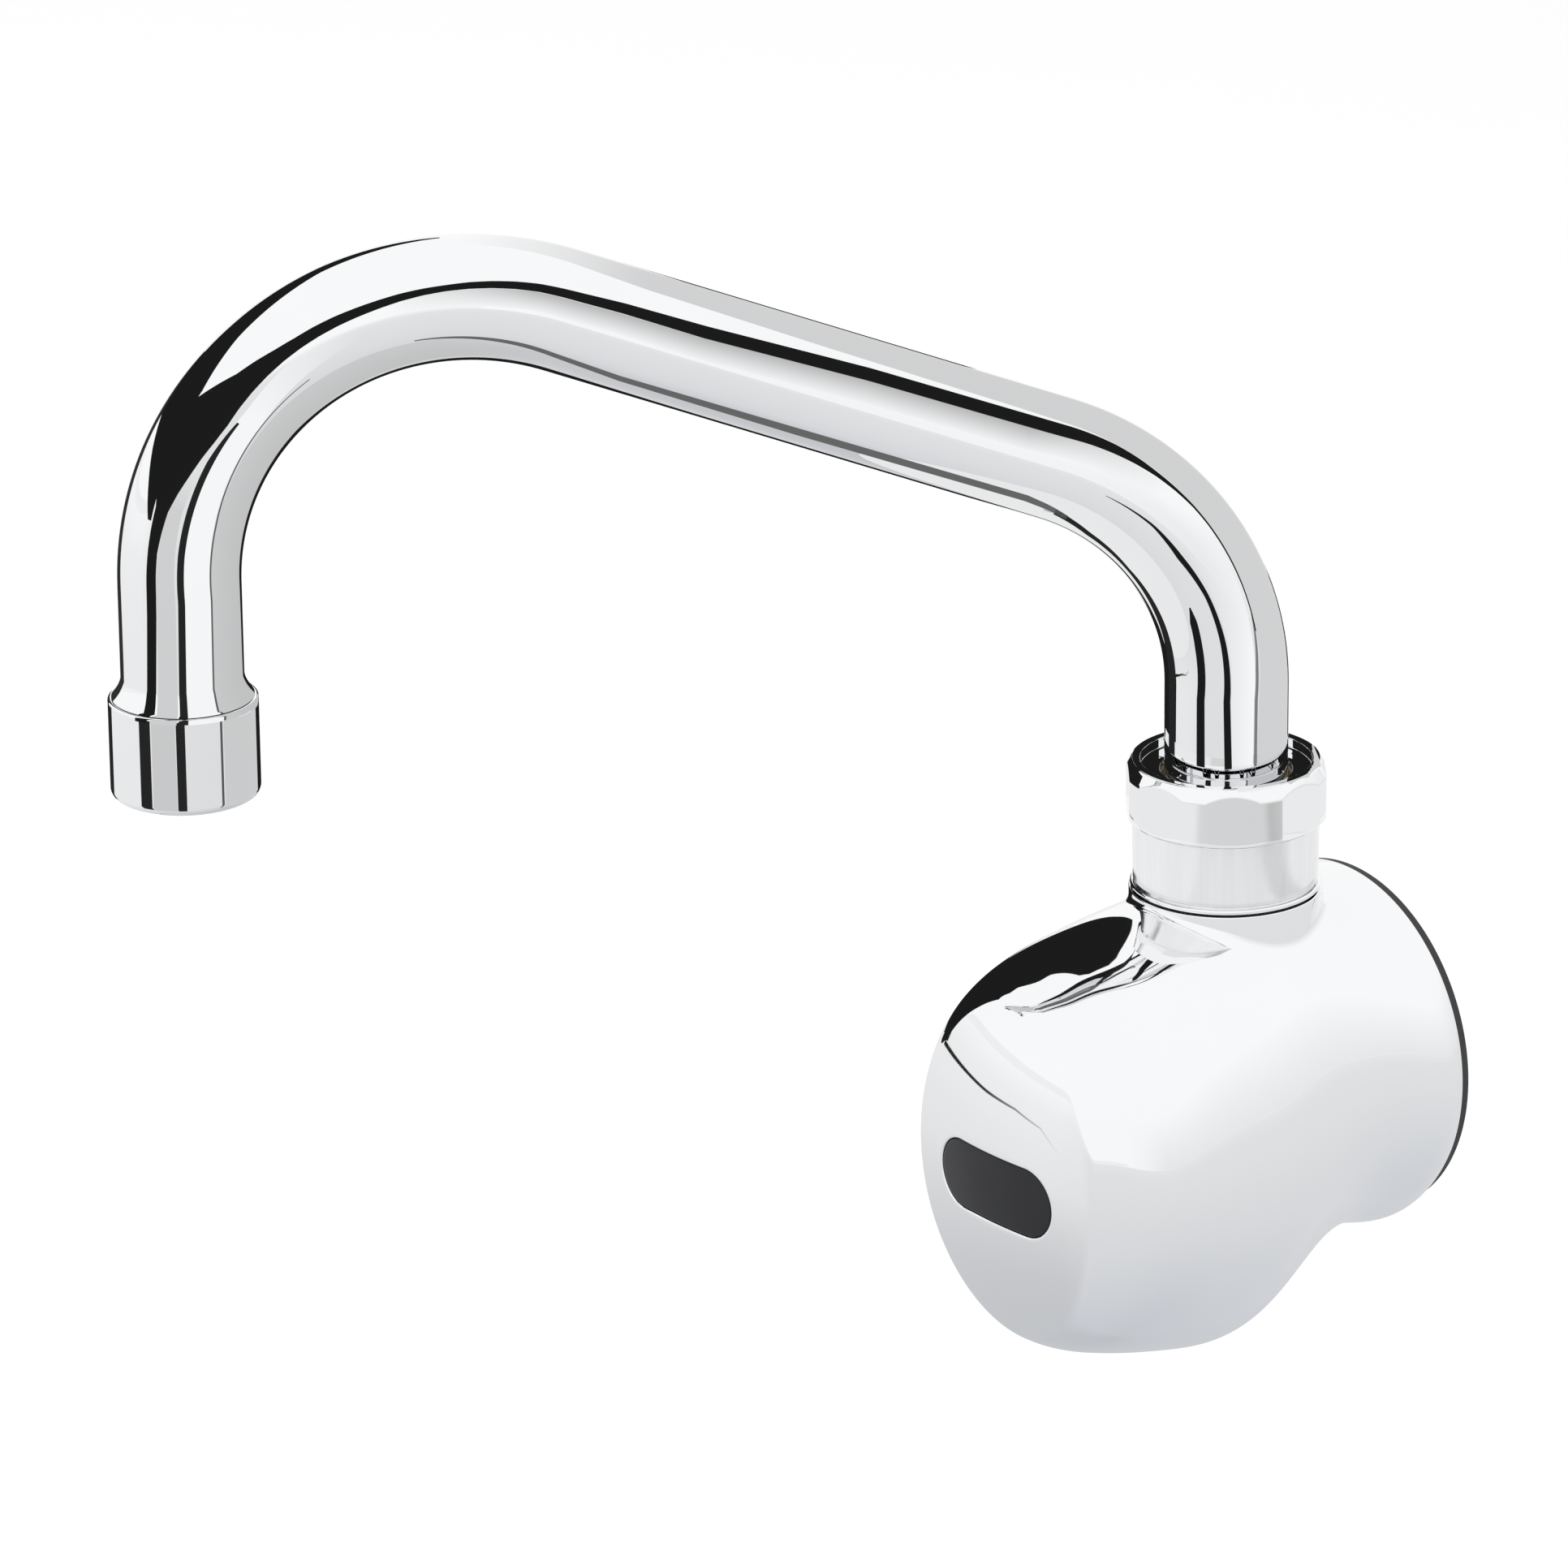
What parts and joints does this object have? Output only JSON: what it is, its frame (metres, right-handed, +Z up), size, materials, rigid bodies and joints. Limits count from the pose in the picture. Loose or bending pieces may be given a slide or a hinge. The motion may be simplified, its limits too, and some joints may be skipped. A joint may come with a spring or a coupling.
{
  "type": "sensor tap",
  "caption": "Wall-mounted chrome sensor tap: bulbous body with a round wall flange and a dark sensor window, and a swivelling bent spout with an aerator.",
  "frame": {"origin": "centre of the inlet's mouth, in the plane of the wall", "axes": "+Z up, +Y into the wall, so the tap stands out towards -Y; +X to the right of someone who faces the wall"},
  "size_m": [0.1397, 0.1656, 0.1799],
  "materials": {
    "chrome_body": "polished chrome plate on a brass casting",
    "chrome_spout": "polished chrome plate on a bent brass tube",
    "chrome_trim": "polished chrome plate on turned brass",
    "satin_metal": "fine satin grain, chrome plated",
    "brass": "bare machined brass",
    "stainless": "plain stainless steel",
    "zinc_plate": "zinc-plated sheet",
    "black_rubber": "black rubber",
    "fibre": "red vulcanised fibre",
    "window": "smoked infrared-clear plastic, polished",
    "black_plastic": "black moulded plastic",
    "white_plastic": "white acetal",
    "board": "green circuit board",
    "clear_lens": "clear epoxy",
    "dark_lens": "dark epoxy"
  },
  "bodies": {
    "root": {"body_shell": "chrome_body", "wall_gasket": "black_rubber", "back_plate": "zinc_plate", "plate_screws": "stainless", "cable_grommet": "black_rubber", "waterway_elbow": "brass", "elbow_washer": "fibre", "inlet_washer": "black_rubber", "inlet_strainer": "stainless", "adapter_seal": "black_rubber", "base_ring": "chrome_trim", "spout_adapter": "satin_metal", "swivel_nut": "chrome_trim", "lower_glide_ring": "white_plastic", "upper_glide_ring": "white_plastic", "sensor_window": "window", "window_gasket": "black_rubber", "sensor_housing": "black_plastic", "housing_cover": "black_plastic", "sensor_board": "board", "infrared_emitter": "clear_lens", "infrared_receiver": "dark_lens", "sensor_screws": "stainless"},
    "spout": {"spout_tube": "chrome_spout", "stem_sleeve": "brass", "stem_o_rings": "black_rubber", "aerator_collar": "chrome_trim", "aerator_screens": "stainless", "aerator_spacer": "white_plastic", "aerator_insert": "white_plastic", "aerator_washer": "black_rubber"}
  },
  "joints": [
    {"name": "spout_swing", "type": "hinge", "parent": "root", "child": "spout", "pos_m": [0, -0.026, 0.045], "axis": [0, 0, 1], "range_deg": [-52, 127]}
  ]
}
